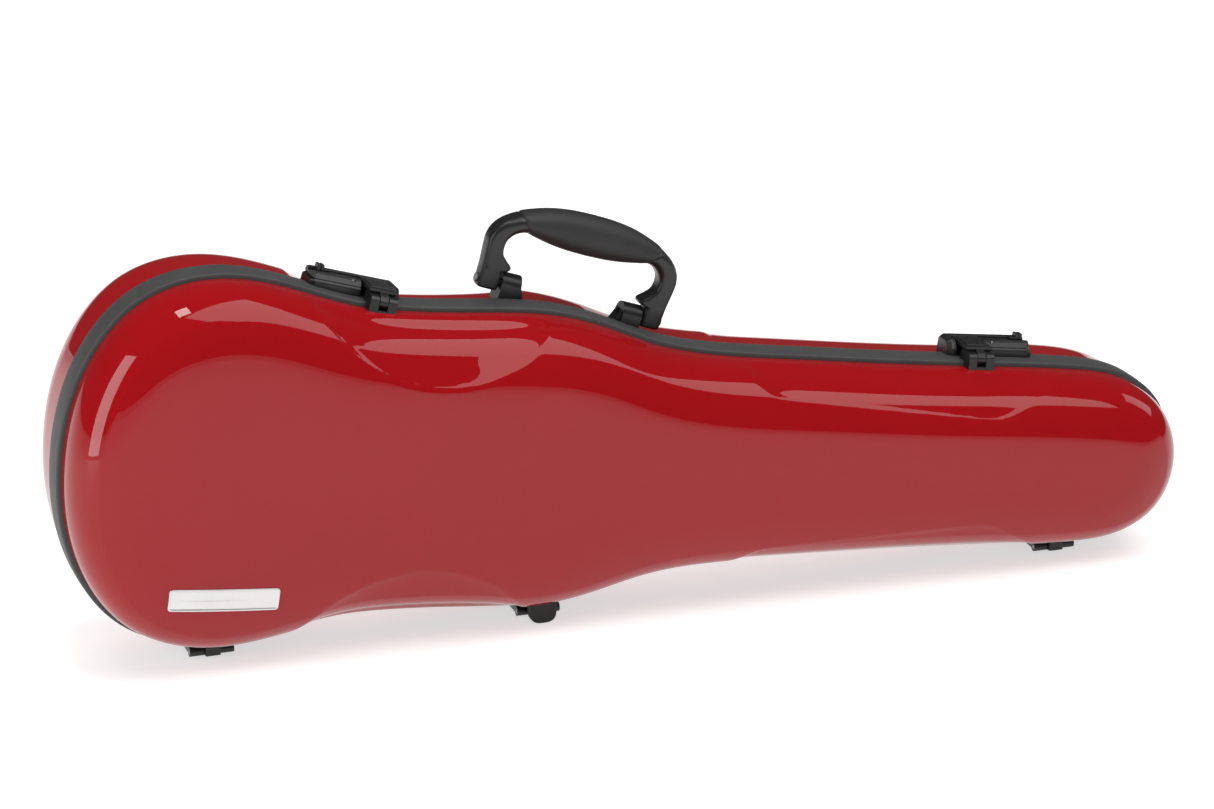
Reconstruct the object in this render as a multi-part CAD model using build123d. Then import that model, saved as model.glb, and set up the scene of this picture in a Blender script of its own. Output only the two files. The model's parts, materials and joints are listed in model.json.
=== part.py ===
from build123d import *
import math
import os

# Shaped hard case for a violin, standing on the three feet of its hinge side.
#
# Case frame: X along the case from the lower-bout end to the neck end, Y from the lid (-Y) to
# the back of the base (+Y), Z across, with the handle side up. The middle of the outline is the
# origin. The standing frame is the case frame turned about Y, so that the three feet touch
# one floor. Everything is moved at the end, so that the floor is Z = 0 and the bounding box is
# centred on X = Y = 0.

# ---- driving dimensions, mm ----
case_length = 790.0
tilt_deg = 5.96
floor_drop = 106.2                 # floor below the outline's middle, in the standing frame
wall = 3.0
lid_front_y = -60.0
lid_rim_y = -12.7
lid_round = 40.0
base_rim_y = -2.0
base_back_y = 88.0
base_round = 46.0
valance_front_y = -12.2
valance_back_y = 10.2
valance_proud = 3.3
soft_gap = 0.3                     # clearance around padding and between moving bodies
fit_gap = 0.05                     # radial running clearance on pins

# half outline of the shells: distance from the lower-bout end, half width
half_outline = [
    (0, 0), (12, 64.4), (45, 107.8), (95, 124.0), (150, 116.0), (190, 105.8), (225, 102.4),
    (270, 101.5), (330, 99.1), (365, 90.9), (400, 79.5), (440, 72.4), (500, 68.7), (600, 64.4),
    (710, 61.0), (750, 54.6), (778, 35.6), (790, 0),
]

# hinges: one axis along the floor, at the shared edge of lid and base
hinge_x = {"left": -298.0, "middle": -71.0, "right": 310.0}
hinge_axis_y = -12.5
hinge_axis_z = 5.5 - floor_drop
hinge_width = 30.0
knuckle_r = 3.2
hinge_pin_r = 1.5
foot_length = 21.0
foot_back_y = 38.0
leaf_bottom = 4.2 - floor_drop

# handle: pivot axis through both posts, on the base
handle_centre = (-49.0, 18.0, 101.7)
handle_slope_deg = 13.2
post_x = 45.0
post_width = 14.0
post_r = 8.0
handle_half = 71.0
handle_pin_r = 3.0
plate_thick = 2.0

# latches: place along the case, and which end carries the thumb slider
latch_places = {"left": (-207.0, 1), "right": (258.5, -1)}
latch_half = 29.0
latch_front_y, latch_back_y = -1.0, 21.0
latch_top = 14.0
latch_cover_thick = 4.0
latch_chamfer = 1.8
hasp_pin = (-17.5, 6.5)            # Y and Z in the latch frame
hasp_from, hasp_to = 6.5, 26.0
slider_travel = 6.0

# inside
lining_top_y = 3.0
lining_floor_y = 66.0
lid_lining_thick = 6.0
accessory_x = (266.0, 346.0)
lid_lining_y = -21.0
bow_z = 22.0
clip_x = -318.0
clip_z = 40.0

# name plate, in the case frame
plate_x = (-330.0, -256.0)
plate_z = (-87.0, -71.4)


# ---- outline and shells ----
def outline_curve(inset=0.0):
    """Closed outline in a flat X-Y frame, with every point moved inward by inset."""
    shift = -case_length / 2
    upper = [(u + shift, h) for u, h in half_outline]
    lower = [(x, -y) for x, y in reversed(upper[1:-1])]
    curve = Spline(*upper, *lower, periodic=True)
    if inset == 0:
        return curve
    moved = []
    for x, y in upper + lower:
        along = curve.tangent_at(curve.param_at_point((x, y)))
        moved.append((x + along.Y * inset, y - along.X * inset))
    return Spline(*moved, periodic=True)


def outline_face(inset):
    curve = outline_curve(inset)
    quarters = [curve.trim(i / 4, (i + 1) / 4) for i in range(4)]
    return Face(Wire(quarters))


def slab(face, y_front, y_back):
    """A flat face taken as X-Z and extruded from y_front to y_back."""
    return Rot(90, 0, 0) * (Pos(0, 0, -y_back) * extrude(face, y_back - y_front, dir=(0, 0, 1)))


def ring(outer, inner, y_front, y_back):
    return slab(outline_face(outer), y_front, y_back) - slab(outline_face(inner), y_front, y_back)


def rounded_body(inset, y_open, y_closed, radius):
    """Solid outline body with its closed face rounded over."""
    body = slab(outline_face(inset), min(y_open, y_closed), max(y_open, y_closed))
    rim = body.edges().filter_by(lambda edge: abs(edge.center().Y - y_closed) < 0.01)
    return body.fillet(radius, rim)


def lid_envelope(inset=0.0):
    return rounded_body(inset, lid_rim_y, lid_front_y + inset, lid_round - inset)


def base_envelope(inset=0.0):
    return rounded_body(inset, base_rim_y, base_back_y - inset, base_round - inset)


def standing(shape):
    """Case frame to standing frame."""
    return Rot(0, tilt_deg, 0) * shape


def half_width(x):
    """Half width of the shells at x, by bisection along the upper half of the outline."""
    low, high = 0.0, 0.5
    for _ in range(30):
        middle = (low + high) / 2
        if (shell_outline @ middle).X < x:
            low = middle
        else:
            high = middle
    return (shell_outline @ low).Y


def block(x0, x1, y0, y1, z0, z1):
    return Pos((x0 + x1) / 2, (y0 + y1) / 2, (z0 + z1) / 2) * Box(x1 - x0, y1 - y0, z1 - z0)


def rod_x(radius, x0, x1, y, z):
    return Pos((x0 + x1) / 2, y, z) * Rot(0, 90, 0) * Cylinder(radius, x1 - x0)


def rod_y(radius, x, y0, y1, z):
    return Pos(x, (y0 + y1) / 2, z) * Rot(90, 0, 0) * Cylinder(radius, y1 - y0)


def rod_z(radius, x, y, z0, z1):
    return Pos(x, y, (z0 + z1) / 2) * Cylinder(radius, z1 - z0)


def rounded(shape, radius, axis):
    return fillet(shape.edges().filter_by(axis), radius)


shell_outline = outline_curve()
lid_solid = lid_envelope()
base_solid = base_envelope()
valance_solid = slab(outline_face(-valance_proud), valance_front_y, valance_back_y)
base_outside = base_solid + valance_solid


# ---- shells and rim ----
def make_shells(nodes):
    nodes["lid_shell"] = standing(lid_solid - lid_envelope(wall))
    nodes["base_shell"] = standing(base_solid - base_envelope(wall))
    valance = ring(-valance_proud, wall, valance_front_y, base_rim_y)
    valance += ring(-valance_proud, 0, base_rim_y, valance_back_y)
    valance += ring(wall, wall + 3.6, valance_front_y + 2.2, base_rim_y)
    valance += ring(wall + 1.6, wall + 3.6, valance_front_y - 5.3, base_rim_y)
    seal = ring(0.8, 2.2, valance_front_y - 0.2, valance_front_y + 1.2)
    nodes["rim_valance"] = standing(valance - seal)
    nodes["rim_seal"] = standing(seal)


# ---- hinges and feet, drawn in the standing frame ----
def hinge_hole(x, radius):
    return rod_x(radius, x - hinge_width, x + hinge_width, hinge_axis_y, hinge_axis_z)


def make_hinge(nodes, side, x):
    half = hinge_width / 2
    third = hinge_width / 6
    top = 24 - floor_drop
    web_top = hinge_axis_z + knuckle_r
    base_skin = standing(base_outside)
    lid_skin = standing(lid_solid)
    middle_room = block(x - third - 0.3, x + third + 0.3, -20, -1.2, leaf_bottom - 5, web_top + 0.6)

    leaf = block(x - half, x + half, 0, foot_back_y, leaf_bottom, top)
    leaf += block(x - half, x + half, hinge_axis_y, 0, leaf_bottom, web_top)
    leaf += rod_x(knuckle_r, x - half, x + half, hinge_axis_y, hinge_axis_z)
    leaf -= middle_room
    leaf -= hinge_hole(x, hinge_pin_r)
    nodes[f"hinge_base_leaf_{side}"] = leaf - base_skin

    lid_leaf = block(x - half, x + half, -27, -16.6, leaf_bottom, top)
    lid_leaf += block(x - half, x + half, -20, -13.2, web_top + 1.0, top)
    lid_leaf += block(x - third, x + third, -20, hinge_axis_y, leaf_bottom, web_top)
    lid_leaf += rod_x(knuckle_r, x - third, x + third, hinge_axis_y, hinge_axis_z)
    lid_leaf -= hinge_hole(x, hinge_pin_r + fit_gap)
    nodes[f"hinge_lid_leaf_{side}"] = lid_leaf - lid_skin

    nodes[f"hinge_pin_{side}"] = rod_x(hinge_pin_r, x - half, x + half, hinge_axis_y, hinge_axis_z)


def foot(x, y0, y1):
    """Rubber foot: a bar with rounded ends under the leaf."""
    pad = block(x - foot_length / 2, x + foot_length / 2, y0, y1, -floor_drop, leaf_bottom)
    low = pad.edges().filter_by(Axis.Y).group_by(Axis.Z)[0]
    return fillet(low, 3.6)


def make_hinges(nodes):
    for side, x in hinge_x.items():
        make_hinge(nodes, side, x)
    nodes["foot_left"] = foot(hinge_x["left"], 1, foot_back_y)
    nodes["foot_right"] = foot(hinge_x["right"], 1, foot_back_y)
    nodes["foot_middle"] = foot(hinge_x["middle"], -27, -18)


# ---- handle ----
def in_handle_frame(shape):
    return standing(Pos(*handle_centre) * Rot(0, handle_slope_deg, 0) * shape)


def to_handle_frame(shape):
    return Rot(0, -handle_slope_deg, 0) * (Pos(*[-c for c in handle_centre]) * shape)


def handle_post(sign, skin):
    inner = post_x - post_width / 2
    outer = post_x + post_width / 2
    xs = sorted((sign * inner, sign * outer))
    post = block(xs[0], xs[1], -post_r, post_r, -26, 0) + rod_x(post_r, xs[0], xs[1], 0, 0)
    gusset_face = make_face(Polyline((inner, -26), (inner - 12, -26), (inner, 3), (inner, -26)))
    gusset = slab(gusset_face, -6, 6)
    if sign < 0:
        gusset = gusset.mirror(Plane.YZ)
    post += gusset
    post -= rod_x(handle_pin_r, -handle_half, handle_half, 0, 0)
    return post - skin


def handle_profile():
    """Outer contour of the carrying frame, in X-Z, without the grip."""
    arm = Polyline(
        (71, -5), (71, 14), (75, 28), (72, 38), (64, 45), (52, 50), (40, 52),
        (40, 38), (52, 36), (58, 30), (60, 24), (57, 18), (48, 12.4), (49, 9.4), (53, 9.0),
        (53, -5), (71, -5),
    )
    return make_face(arm)


def make_handle(nodes):
    skin = to_handle_frame(base_outside)
    for side, sign in (("left", -1), ("right", 1)):
        nodes[f"handle_post_{side}"] = in_handle_frame(handle_post(sign, skin))
        ends = sorted((sign * (post_x - post_width / 2 + 1), sign * (handle_half - 2)))
        pin = rod_x(handle_pin_r, ends[0], ends[1], 0, 0)
        nodes[f"handle_pin_{side}"] = in_handle_frame(pin)
    arm = slab(handle_profile(), -7, 7)
    frame = arm + arm.mirror(Plane.YZ)
    frame += block(-41, 41, -4, 4, 40, 50)
    frame -= rod_x(handle_pin_r + fit_gap, -handle_half + 1.5, handle_half - 1.5, 0, 0)
    nodes["handle_frame"] = in_handle_frame(frame)
    nodes["handle_grip"] = in_handle_frame(grip_solid() - frame)
    make_handle_fixings(nodes)


def grip_solid():
    """Padded grip: ellipses lofted along the bar, thickest in the middle."""
    stations = [(-46, 8.0, 6.5, 43.5), (-24, 11.0, 10.0, 44.6), (0, 12.0, 11.5, 45.0),
                (24, 11.0, 10.0, 44.6), (46, 8.0, 6.5, 43.5)]
    sections = []
    for x, half_depth, half_height, z in stations:
        plane = Plane(origin=(x, 0, z), x_dir=(0, 1, 0), z_dir=(1, 0, 0))
        sections.append(plane * Ellipse(half_depth, half_height))
    return loft(sections)


def make_handle_fixings(nodes):
    """Backing plates inside the shell, and the screws that hold the posts to them."""
    inside = base_envelope(wall) - base_envelope(wall + plate_thick)
    plates = []
    screws = []
    for sign in (-1, 1):
        x = handle_centre[0] + sign * post_x * math.cos(math.radians(handle_slope_deg))
        y = handle_centre[1]
        turn = Pos(x, y, half_width(x)) * Rot(0, outline_slope(x), 0)
        plates.append(standing((turn * Box(post_width + 6, 18, 20)) & inside))
        for dy in (-5, 5):
            shank = rod_z(1.75, 0, dy, -wall - plate_thick - 1.5, 5.5)
            head = rod_z(3.2, 0, dy, -wall - plate_thick - 2.3, -wall - plate_thick - 0.5)
            screws.append(standing(turn * (shank + head)))
    nodes["handle_backing_plates"] = group(plates)
    cut(nodes, screws, "handle_backing_plates", "base_shell", "handle_post_left", "handle_post_right")
    nodes["handle_screws"] = group(screws)


def group(solids):
    """Several identical solids as one node."""
    return Compound([solid.solids()[0] for solid in solids])


def cut(nodes, tools, *names):
    """Take the fasteners out of the parts that they pass through."""
    for name in names:
        pieces = [piece - tools for piece in nodes[name].solids()]
        nodes[name] = group(pieces) if len(pieces) > 1 else pieces[0]


def outline_slope(x):
    """Downward slope of the outline at x, in degrees, as a turn about Y."""
    return -math.degrees(math.atan2(half_width(x + 4) - half_width(x - 4), 8))


# ---- latches: X along the case, Z outward from the shell, Y as in the case frame ----
def in_latch_frame(x, flip, shape):
    if flip < 0:
        shape = shape.mirror(Plane.YZ)
    return standing(Pos(x, 0, half_width(x)) * Rot(0, outline_slope(x), 0) * shape)


def to_latch_frame(x, flip, shape):
    moved = Rot(0, -outline_slope(x), 0) * (Pos(-x, 0, -half_width(x)) * shape)
    return moved.mirror(Plane.YZ) if flip < 0 else moved


def latch_bar(x0, x1, z0, z1):
    """A length of the housing; where it reaches the top, its long edges are chamfered."""
    bar = block(x0, x1, latch_front_y, latch_back_y, z0, z1)
    if z1 < latch_top:
        return bar
    return chamfer(bar.edges().filter_by(Axis.X).group_by(Axis.Z)[-1], latch_chamfer)


def make_latch(nodes, side, x, flip):
    base_skin = to_latch_frame(x, flip, base_outside)
    lid_skin = to_latch_frame(x, flip, lid_solid)
    pin_y, pin_z = hasp_pin
    seat = latch_top - latch_cover_thick
    bay_from = hasp_from - 1.0

    housing = latch_bar(-latch_half, latch_half, -8, seat)
    housing += latch_bar(-latch_half, -latch_half + 3, -8, latch_top)
    channel = block(-25.8, bay_from - 1.5, 6, 15, 5.5, latch_top)
    bay = block(bay_from, latch_half + 1, latch_front_y - 1, 13, 4.4, latch_top)
    housing -= channel + bay
    nodes[f"latch_housing_{side}"] = in_latch_frame(x, flip, housing - base_skin)

    cover = latch_bar(-latch_half + 3, bay_from, seat, latch_top)
    window = block(-25.8, -9.0, 6.6, 14.4, seat - 1, latch_top + 1)
    nodes[f"latch_cover_{side}"] = in_latch_frame(x, flip, cover - window)

    slider = block(-25.6, -10.5, 6.2, 14.8, 5.8, seat - 0.2)
    thumb = block(-25.2, -17.0, 7.0, 14.0, seat - 0.2, latch_top + 4.0)
    slider += chamfer(thumb.edges().filter_by(Axis.Y).group_by(Axis.Z)[-1], 2.4)
    nodes[f"latch_slider_{side}"] = in_latch_frame(x, flip, slider)
    spring_ends = (-10.4, bay_from - 1.6)
    spring = rod_x(1.8, *spring_ends, 10.5, 7.8) - rod_x(1.2, *spring_ends, 10.5, 7.8)
    nodes[f"latch_spring_{side}"] = in_latch_frame(x, flip, spring)

    width = hasp_to - hasp_from
    inner = hasp_from + width / 3
    outer = hasp_to - width / 3
    hasp = block(hasp_from, hasp_to, -13.5, 11.5, latch_top - 2.4, latch_top)
    hasp = rounded(hasp, 1.5, Axis.Z)
    hasp += block(inner, outer, pin_y, -10, latch_top - 3.7, latch_top)
    hasp += block(inner, outer, pin_y - 1.5, pin_y + 3.2, pin_z, latch_top - 1.5)
    hasp += rod_x(3.2, inner, outer, pin_y, pin_z)
    hasp += block(hasp_from + 4, hasp_to - 4, 7.5, 10, 6.2, latch_top - 1)
    hasp -= rod_x(1.5 + fit_gap, hasp_from - 1, hasp_to + 1, pin_y, pin_z)
    nodes[f"latch_hasp_{side}"] = in_latch_frame(x, flip, hasp)

    bracket = rod_x(3.2, hasp_from + 0.5, hasp_to - 0.5, pin_y, pin_z)
    bracket += block(hasp_from + 0.5, hasp_to - 0.5, pin_y - 3.2, pin_y + 3.2, -9, pin_z)
    bracket += block(hasp_from + 0.5, hasp_to - 0.5, -28, pin_y, -9, 3)
    bracket -= block(inner - 0.3, outer + 0.3, -24, -12, 0, 20)
    bracket -= rod_x(1.5, hasp_from - 1, hasp_to + 1, pin_y, pin_z)
    nodes[f"latch_bracket_{side}"] = in_latch_frame(x, flip, bracket - lid_skin)
    pin = rod_x(1.5, hasp_from + 0.5, hasp_to - 0.5, pin_y, pin_z)
    nodes[f"latch_pin_{side}"] = in_latch_frame(x, flip, pin)


def latch_screw(x, y):
    """Countersunk screw through the cover into the housing."""
    shank = rod_z(1.0, x, y, latch_top - 8, latch_top - 1)
    return shank + rod_z(1.5, x, y, latch_top - 1.4, latch_top - 0.2)


def make_latches(nodes):
    for side, (x, flip) in latch_places.items():
        make_latch(nodes, side, x, flip)
        places = ((-21.0, 17.2), (0.0, 17.2), (0.0, 3.0))
        screws = [in_latch_frame(x, flip, latch_screw(*place)) for place in places]
        cut(nodes, screws, f"latch_cover_{side}", f"latch_housing_{side}")
        nodes[f"latch_screws_{side}"] = group(screws)


# ---- name plate ----
def make_name_plate(nodes):
    """Blank plate bent over the rounding of the lid."""
    x0, x1 = plate_x
    z0, z1 = plate_z
    blank = rounded(block(x0, x1, lid_front_y - 4, lid_front_y + 14, z0, z1), 3, Axis.Y)
    nodes["name_plate"] = standing((blank & lid_envelope(-1.2)) - lid_solid)


# ---- lining and padding of the base ----
def violin_face():
    """Outline of the recess for the violin's body."""
    upper = [(-374, 0), (-366, 58), (-338, 96), (-300, 107), (-262, 101), (-226, 82), (-190, 71),
             (-155, 75), (-120, 86), (-84, 89), (-46, 80), (-19, 52), (-11, 0)]
    lower = [(x, -z) for x, z in reversed(upper[1:-1])]
    curve = Spline(*upper, *lower, periodic=True)
    return Face(Wire([curve.trim(i / 4, (i + 1) / 4) for i in range(4)]))


def make_base_inside(nodes):
    inset = wall + soft_gap
    lining = base_envelope(inset) & block(-400, 400, lining_top_y, 100, -150, 150)
    lining -= slab(violin_face(), lining_top_y - 1, lining_floor_y)
    lining -= block(-30, 200, lining_top_y - 1, 48, -24, 24)
    scroll_room = block(190, 248, lining_top_y - 1, 62, -32, 32)
    lining -= rounded(scroll_room, 12, Axis.Y)
    x0, x1 = accessory_x
    lining -= rounded(block(x0, x1, lining_top_y - 1, lining_floor_y - 6, -36, 36), 14, Axis.Y)
    lining = standing(lining.solids().sort_by(SortBy.VOLUME)[-1])
    for fixing in nodes["handle_backing_plates"].solids() + nodes["handle_screws"].solids():
        size = fixing.bounding_box()
        lining -= block(size.min.X - 2, size.max.X + 2, size.min.Y - 2, size.max.Y + 2,
                        size.min.Z - 2, size.max.Z + 2)
    nodes["base_lining"] = lining

    floor = lining_floor_y
    pads = {"lower": (-352, -292, 74), "upper": (-84, -34, 62)}
    for name, (x0, x1, half) in pads.items():
        pad = rounded(block(x0, x1, floor - 9, floor, -half, half), 12, Axis.Y)
        nodes[f"suspension_pad_{name}"] = standing(pad)
    cradle = block(62, 112, 20, 48, -24, 24) - rod_x(17, 60, 114, 16, 0)
    nodes["neck_cradle"] = standing(cradle)
    strap = rounded(block(74, 99, lining_top_y - 1.6, lining_top_y, -44, 44), 6, Axis.Y)
    nodes["neck_strap"] = standing(strap)


# ---- lining and bow fittings of the lid ----
def make_lid_inside(nodes):
    inset = wall + soft_gap
    outer = lid_envelope(inset)
    inner = lid_envelope(inset + lid_lining_thick)
    depth = block(-400, 400, lid_front_y - 1, lid_lining_y, -150, 150)
    nodes["lid_lining"] = standing((outer - inner) & depth)
    face = lid_front_y + inset + lid_lining_thick

    rest = rounded(block(150, 186, face, face + 16, -40, 40), 8, Axis.Y)
    sleeve = rounded(block(286, 340, face, face + 17, -36, 36), 8, Axis.Y)
    for z in (-bow_z, bow_z):
        rest -= rod_x(5.5, 149, 187, face + 13, z)
        rest -= block(149, 187, face + 13, face + 17, z - 5.5, z + 5.5)
        sleeve -= block(285, 332, face + 3, face + 14, z - 9, z + 9)
    nodes["bow_rest"] = standing(rest & inner)
    nodes["bow_tip_sleeve"] = standing(sleeve & inner)

    for name, z in (("upper", clip_z), ("lower", -clip_z)):
        base = rounded(block(clip_x - 16, clip_x + 16, face, face + 5, z - 9, z + 9), 5, Axis.Y)
        base += rod_y(3.0, clip_x, face + 4, face + 12, z)
        base += rod_y(4.6, clip_x, face + 10.2, face + 12, z)
        nodes[f"bow_clip_base_{name}"] = standing(base)
        clip = block(clip_x - 5, clip_x + 5, face + 6.8, face + 10, z - 20, z + 20)
        clip = rounded(clip, 4.9, Axis.Y)
        clip -= rod_y(3.0 + fit_gap, clip_x, face + 4, face + 12, z)
        nodes[f"bow_turn_clip_{name}"] = standing(clip)


def hinge_rivets(nodes):
    """Blind rivets through each leaf and the shell wall behind it."""
    for owner, y, shell in (("base", 19, "base_shell"), ("lid", -21.5, "lid_shell")):
        rivets = []
        for side, x in hinge_x.items():
            for dx in (-11, 11):
                rivet = rod_z(1.6, x + dx, y, leaf_bottom + 1.0, 20 - floor_drop + 3)
                rivet += rod_z(2.8, x + dx, y, leaf_bottom, leaf_bottom + 1.4)
                rivets.append(rivet)
        for side in hinge_x:
            cut(nodes, rivets, f"hinge_{owner}_leaf_{side}")
        cut(nodes, rivets, shell, f"{owner}_lining")
        nodes[f"hinge_rivets_{owner}"] = group(rivets)


def place_on_floor(nodes):
    """Move everything so that the floor is Z = 0 and the box is centred on X = Y = 0."""
    boxes = [shape.bounding_box() for shape in nodes.values()]
    low = [min(tuple(box.min)[i] for box in boxes) for i in range(3)]
    high = [max(tuple(box.max)[i] for box in boxes) for i in range(3)]
    shift = Pos(-(low[0] + high[0]) / 2, -(low[1] + high[1]) / 2, -low[2])
    return shift, {name: shift * shape for name, shape in nodes.items()}


def make_all():
    nodes = {}
    make_shells(nodes)
    make_hinges(nodes)
    make_handle(nodes)
    make_latches(nodes)
    make_name_plate(nodes)
    make_base_inside(nodes)
    make_lid_inside(nodes)
    hinge_rivets(nodes)
    return place_on_floor(nodes)


shift, nodes = make_all()
os.makedirs("parts", exist_ok=True)
for name, shape in nodes.items():
    export_step(shape, f"parts/{name}.step")
print("nodes:", len(nodes))
print("outline middle:", shift.position)
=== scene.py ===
import json
import math

import bmesh
import bpy
import numpy as np
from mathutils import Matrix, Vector
from mathutils.bvhtree import BVHTree


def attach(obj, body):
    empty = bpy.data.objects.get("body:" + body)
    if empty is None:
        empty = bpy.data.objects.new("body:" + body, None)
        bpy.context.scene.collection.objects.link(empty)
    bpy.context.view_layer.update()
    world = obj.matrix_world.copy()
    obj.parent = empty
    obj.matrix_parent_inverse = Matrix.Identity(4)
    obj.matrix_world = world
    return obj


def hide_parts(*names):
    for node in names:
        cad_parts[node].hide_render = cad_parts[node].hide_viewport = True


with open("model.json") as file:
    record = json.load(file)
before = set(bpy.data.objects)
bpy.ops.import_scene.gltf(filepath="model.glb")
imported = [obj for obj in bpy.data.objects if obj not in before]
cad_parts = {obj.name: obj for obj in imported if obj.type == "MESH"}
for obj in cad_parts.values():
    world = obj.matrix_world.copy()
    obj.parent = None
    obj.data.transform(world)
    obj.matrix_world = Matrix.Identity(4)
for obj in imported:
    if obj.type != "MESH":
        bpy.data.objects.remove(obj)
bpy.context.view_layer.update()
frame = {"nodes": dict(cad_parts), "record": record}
MM = 0.001

# ---- the case frame, mm: X along the case, Y from lid to base, Z across; origin mid outline ----
TILT = math.radians(5.96)
OUTLINE_MIDDLE = (0.03, -13.4, 106.2)       # place of that origin in the row frame, mm
CASE_LENGTH = 790.0
# half outline of the shells: distance from the wide end, half width
HALF_OUTLINE = [
    (0, 0), (12, 64.4), (45, 107.8), (95, 124.0), (150, 116.0), (190, 105.8), (225, 102.4),
    (270, 101.5), (330, 99.1), (365, 90.9), (400, 79.5), (440, 72.4), (500, 68.7), (600, 64.4),
    (710, 61.0), (750, 54.6), (778, 35.6), (790, 0),
]
AROUND = 900                                # points around the outline
LID_RIM_Y = -12.7
BASE_RIM_Y = -2.0
WALL = 3.0


# ---------------------------------------------------------------- general helpers
def smoothstep(t):
    t = np.clip(t, 0.0, 1.0)
    return t * t * (3 - 2 * t)


def to_row(points):
    """Case frame in mm to the row frame in metres."""
    p = np.asarray(points, float)
    x = p[..., 0] * math.cos(TILT) + p[..., 2] * math.sin(TILT) + OUTLINE_MIDDLE[0]
    y = p[..., 1] + OUTLINE_MIDDLE[1]
    z = -p[..., 0] * math.sin(TILT) + p[..., 2] * math.cos(TILT) + OUTLINE_MIDDLE[2]
    return np.stack([x, y, z], -1) * MM


def new_mesh(name, points, faces, body, material, smooth=True):
    """Makes a piece from row-frame points in metres and lets it ride on a body."""
    mesh = bpy.data.meshes.new(name)
    mesh.from_pydata([tuple(p) for p in points], [], [tuple(f) for f in faces])
    mesh.validate()
    mesh.update()
    if smooth:
        mesh.polygons.foreach_set("use_smooth", [True] * len(mesh.polygons))
    piece = bpy.data.objects.new(name, mesh)
    bpy.context.scene.collection.objects.link(piece)
    mesh.materials.append(material)
    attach(piece, body)
    return piece


def grid_faces(rows, columns, closed_rows=False, flip=False):
    """Quads between closed rings of points that are stored ring after ring."""
    faces = []
    for i in range(rows if closed_rows else rows - 1):
        for j in range(columns):
            a = i * columns + j
            b = i * columns + (j + 1) % columns
            c = ((i + 1) % rows) * columns + (j + 1) % columns
            d = ((i + 1) % rows) * columns + j
            faces.append((a, d, c, b) if flip else (a, b, c, d))
    return faces


def capped_faces(rows, columns):
    """Faces of a stack of closed rings with both its ends closed."""
    faces = grid_faces(rows, columns)
    faces.append(tuple(range(columns)))
    faces.append(tuple(range((rows - 1) * columns, rows * columns)))
    return faces


def merge_close(piece, distance):
    """Joins points closer than distance, and turns every face outward."""
    work = bmesh.new()
    work.from_mesh(piece.data)
    bmesh.ops.remove_doubles(work, verts=work.verts, dist=distance)
    bmesh.ops.recalc_face_normals(work, faces=work.faces)
    work.to_mesh(piece.data)
    work.free()
    piece.data.update()


def closed_spline(points, count, per_span=60):
    """count points, evenly spaced, on the periodic cubic spline through points."""
    p = np.asarray(points, float)
    n = len(p)
    step = np.hypot(*(np.roll(p, -1, 0) - p).T)
    matrix = np.zeros((n, n))
    right = np.zeros((n, 2))
    for i in range(n):
        before, after = step[i - 1], step[i]
        matrix[i, i - 1] += after
        matrix[i, i] += 2 * (before + after)
        matrix[i, (i + 1) % n] += before
        rise = after * (p[i] - p[i - 1]) / before + before * (p[(i + 1) % n] - p[i]) / after
        right[i] = 3 * rise
    slope = np.linalg.solve(matrix, right)
    fine = []
    for i in range(n):
        t = np.linspace(0, 1, per_span, endpoint=False)[:, None]
        q, m0, m1 = p[(i + 1) % n], slope[i] * step[i], slope[(i + 1) % n] * step[i]
        fine.append((2 * t**3 - 3 * t**2 + 1) * p[i] + (t**3 - 2 * t**2 + t) * m0
                    + (3 * t**2 - 2 * t**3) * q + (t**3 - t**2) * m1)
    fine = np.concatenate(fine)
    loop = np.vstack([fine, fine[:1]])
    length = np.r_[0, np.cumsum(np.hypot(*np.diff(loop, axis=0).T))]
    at = np.linspace(0, length[-1], count, endpoint=False)
    return np.stack([np.interp(at, length, loop[:, k]) for k in (0, 1)], 1)


def inward_normals(curve):
    along = np.roll(curve, -1, 0) - np.roll(curve, 1, 0)
    along /= np.hypot(*along.T)[:, None]
    return np.stack([along[:, 1], -along[:, 0]], 1)


def mirrored(half):
    return half + [(x, -z) for x, z in reversed(half[1:-1])]


OUTLINE = closed_spline(mirrored([(u - CASE_LENGTH / 2, h) for u, h in HALF_OUTLINE]), AROUND)
INWARD = inward_normals(OUTLINE)


def half_width(x):
    upper = OUTLINE[OUTLINE[:, 1] > 0]
    order = np.argsort(upper[:, 0])
    return float(np.interp(x, upper[order, 0], upper[order, 1]))


# ---------------------------------------------------------------- moulded flank features
SCOOP_CENTRE_X = -154.5
SCOOP_CENTRE_Z = 160.0
SCOOP_RADIUS = 97.0
SCOOP_DEPTH, SCOOP_FADE = 4.6, 12.0
PANEL_EDGES = [((58.0, 76.0), (78.0, 53.0)), ((78.0, 54.0), (252.0, 36.5)), ((240.0, 33.0), (298.0, 63.0))]
PANEL_DEPTH, PANEL_FADE = 2.2, 9.0
PANEL_SHARPNESS = 0.35                      # of the corners between its edges, 1/mm
EDGE_STEP, EDGE_WIDTH = 0.5, 3.0            # small step at the edge of either feature


def scoop_inside(x, z):
    """Depth inside the half-moon hollow at the waist, positive within it, mm."""
    return SCOOP_RADIUS - np.hypot(x - SCOOP_CENTRE_X, np.abs(z) - SCOOP_CENTRE_Z)


def neck_panel_inside(x, z):
    """Depth inside the long flat along the neck: three straight edges with rounded corners."""
    across = []
    for (x0, z0), (x1, z1) in PANEL_EDGES:
        run = math.hypot(x1 - x0, z1 - z0)
        across.append(((x1 - x0) * (np.abs(z) - z0) - (z1 - z0) * (x - x0)) / run)
    total = sum(np.exp(-PANEL_SHARPNESS * a) for a in across)
    return -np.log(total) / PANEL_SHARPNESS


def sunk(inside, depth, fade):
    """Depth of a feature: a small step at its edge, then an easing fall towards its full depth."""
    step = EDGE_STEP * smoothstep(inside / EDGE_WIDTH + 0.5)
    return step + depth * (1 - np.exp(-np.maximum(inside, 0) / fade))


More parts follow.
